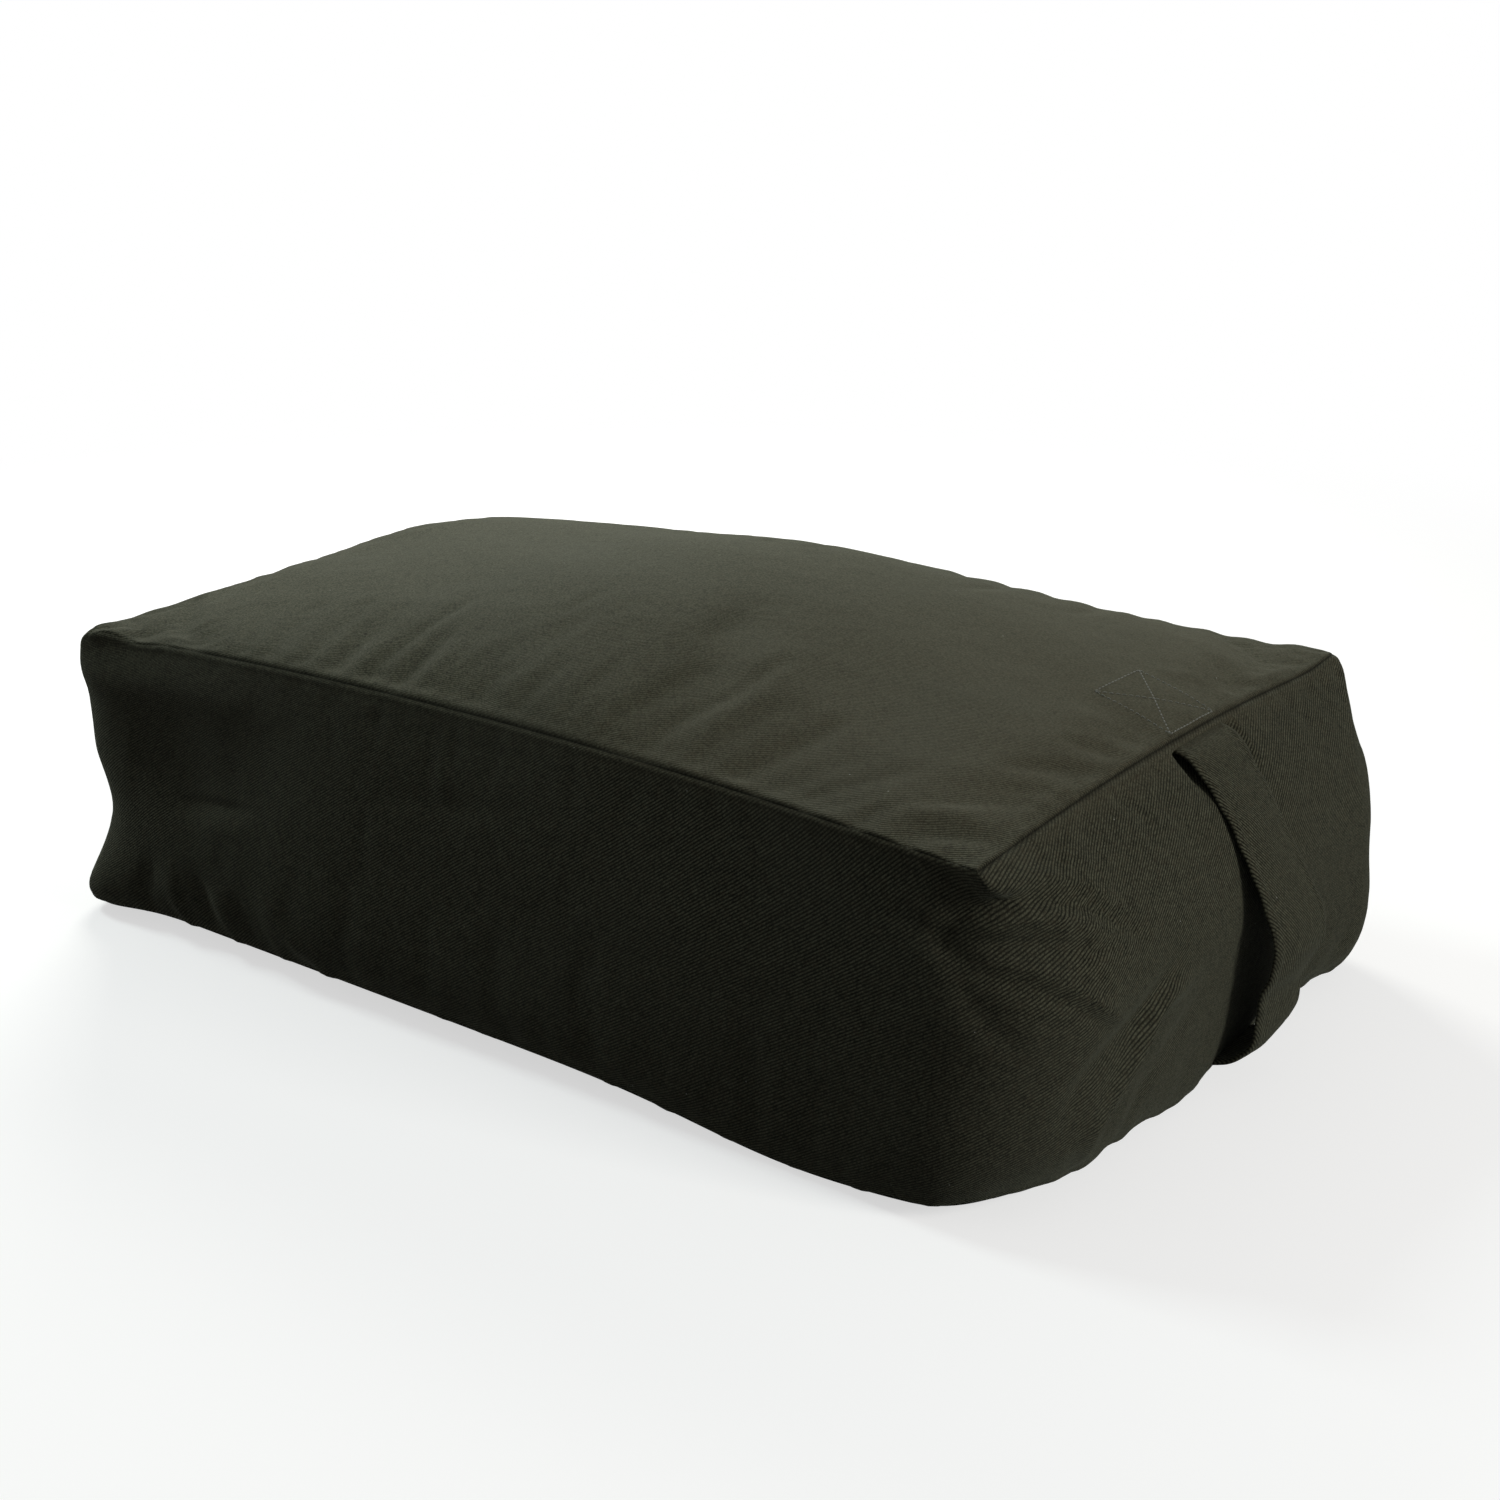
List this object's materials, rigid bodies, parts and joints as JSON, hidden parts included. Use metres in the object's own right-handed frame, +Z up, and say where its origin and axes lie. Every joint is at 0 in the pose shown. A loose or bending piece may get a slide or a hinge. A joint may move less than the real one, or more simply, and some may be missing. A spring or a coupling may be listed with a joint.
{
  "type": "rectangular yoga bolster",
  "caption": "Firm rectangular floor cushion: zipped twill cover with crowned top, boxed sides and an end carrying strap over a cotton-filled liner.",
  "frame": {"origin": "middle of the flat face that rests on the floor", "axes": "+X along the length towards the strap end, +Y towards the long side with the zip, +Z up"},
  "size_m": [0.6602, 0.3879, 0.2098],
  "materials": {
    "cover_twill": "heavy cotton twill, dark olive black, matt with a slight fuzz",
    "liner_cotton": "plain unbleached cotton",
    "batting_cotton": "raw cotton batting",
    "zip_cloth": "woven black tape",
    "zip_plastic": "moulded satin black",
    "zip_metal": "black enamelled zinc"
  },
  "bodies": {
    "root": {"top_panel": "cover_twill", "bottom_panel": "cover_twill", "boxing_strip": "cover_twill", "zip_strip_upper": "cover_twill", "zip_strip_lower": "cover_twill", "handle_strap": "cover_twill", "liner_top": "liner_cotton", "liner_bottom": "liner_cotton", "liner_boxing": "liner_cotton", "batt_layer_1": "batting_cotton", "batt_layer_2": "batting_cotton", "batt_layer_3": "batting_cotton", "batt_layer_4": "batting_cotton", "batt_layer_5": "batting_cotton", "zip_tape_upper": "zip_cloth", "zip_tape_lower": "zip_cloth", "zip_teeth_upper": "zip_plastic", "zip_teeth_lower": "zip_plastic", "zip_top_stop_upper": "zip_metal", "zip_top_stop_lower": "zip_metal", "zip_bottom_stop": "zip_metal"},
    "zip_slider": {"zip_slider": "zip_metal"},
    "zip_pull": {"zip_pull": "zip_metal"}
  },
  "joints": [
    {"name": "zip_slide", "type": "slide", "parent": "root", "child": "zip_slider", "axis": [-1, 0, 0], "range_m": [0, 0.4118], "deforming": ["zip_teeth_upper", "zip_teeth_lower"]},
    {"name": "pull_swing", "type": "hinge", "parent": "zip_slider", "child": "zip_pull", "pos_m": [0.2059, 0.19165, 0.0881], "axis": [0, 0.0895, -0.996], "range_deg": [0, 170]}
  ]
}
